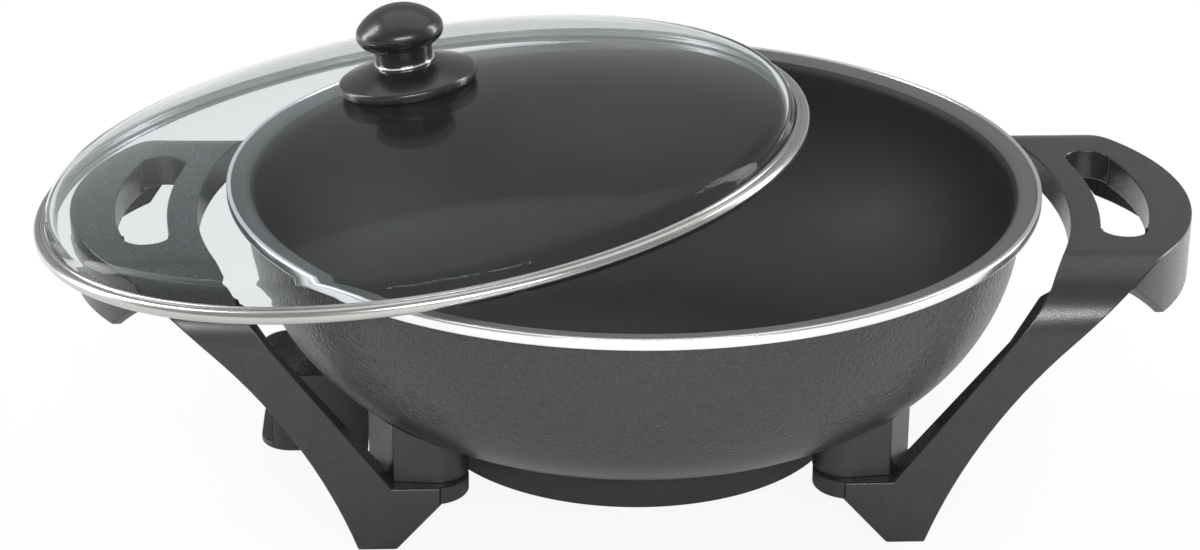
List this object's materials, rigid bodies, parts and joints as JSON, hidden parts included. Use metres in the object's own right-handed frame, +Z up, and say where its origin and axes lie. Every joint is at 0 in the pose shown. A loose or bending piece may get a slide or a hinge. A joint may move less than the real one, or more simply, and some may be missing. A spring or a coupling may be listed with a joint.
{
  "type": "electric wok",
  "caption": "Electric wok: deep round pan on two side mouldings that are handle and legs in one, with a loose domed glass lid lying tilted over the rim.",
  "frame": {"origin": "on the surface it stands on, under the middle of the whole object's box, lid included", "axes": "+X through both handles, away from the inlet guard; front is -Y; +Z up"},
  "size_m": [0.5112, 0.3703, 0.2058],
  "materials": {
    "pan_coat": "cast aluminium, dark grey coating outside, matte black nonstick inside, bright machined rim",
    "sheath_steel": "heat-dulled",
    "cast_aluminium": "as cast",
    "base_plastic": "satin black",
    "cover_steel": "satin black",
    "screw_steel": "zinc plated",
    "pin_steel": "polished",
    "ceramic": "unglazed white ceramic",
    "side_plastic": "satin black, fine texture",
    "spacer_plastic": "satin black",
    "clear_glass": "clear, polished",
    "band_steel": "satin stainless",
    "knob_plastic": "glossy black",
    "gasket_rubber": "matte",
    "collar_chrome": "polished"
  },
  "bodies": {
    "wok": {"pan": "pan_coat", "heating_element": "sheath_steel", "heat_spreader": "cast_aluminium", "base_ring": "base_plastic", "base_cover": "cover_steel", "base_screws": "screw_steel", "terminal_pins": "pin_steel", "terminal_seals": "ceramic", "probe_sleeve": "pin_steel", "inlet_guard": "side_plastic", "guard_bracket": "screw_steel", "guard_screws": "screw_steel", "left_handle": "side_plastic", "right_handle": "side_plastic", "spacer_front_left": "spacer_plastic", "spacer_rear_left": "spacer_plastic", "spacer_front_right": "spacer_plastic", "spacer_rear_right": "spacer_plastic", "leg_screws": "screw_steel", "leg_washers": "screw_steel"},
    "lid": {"lid_glass": "clear_glass", "lid_band": "band_steel", "knob_base": "knob_plastic", "knob_gasket": "gasket_rubber", "knob_collar": "collar_chrome", "knob_head": "knob_plastic", "knob_screw": "screw_steel", "knob_washer": "screw_steel"}
  },
  "joints": [
    {"name": "lid_lift", "type": "slide", "parent": "wok", "child": "lid", "axis": [0, 0, 1], "range_m": [0, 0.25]}
  ]
}
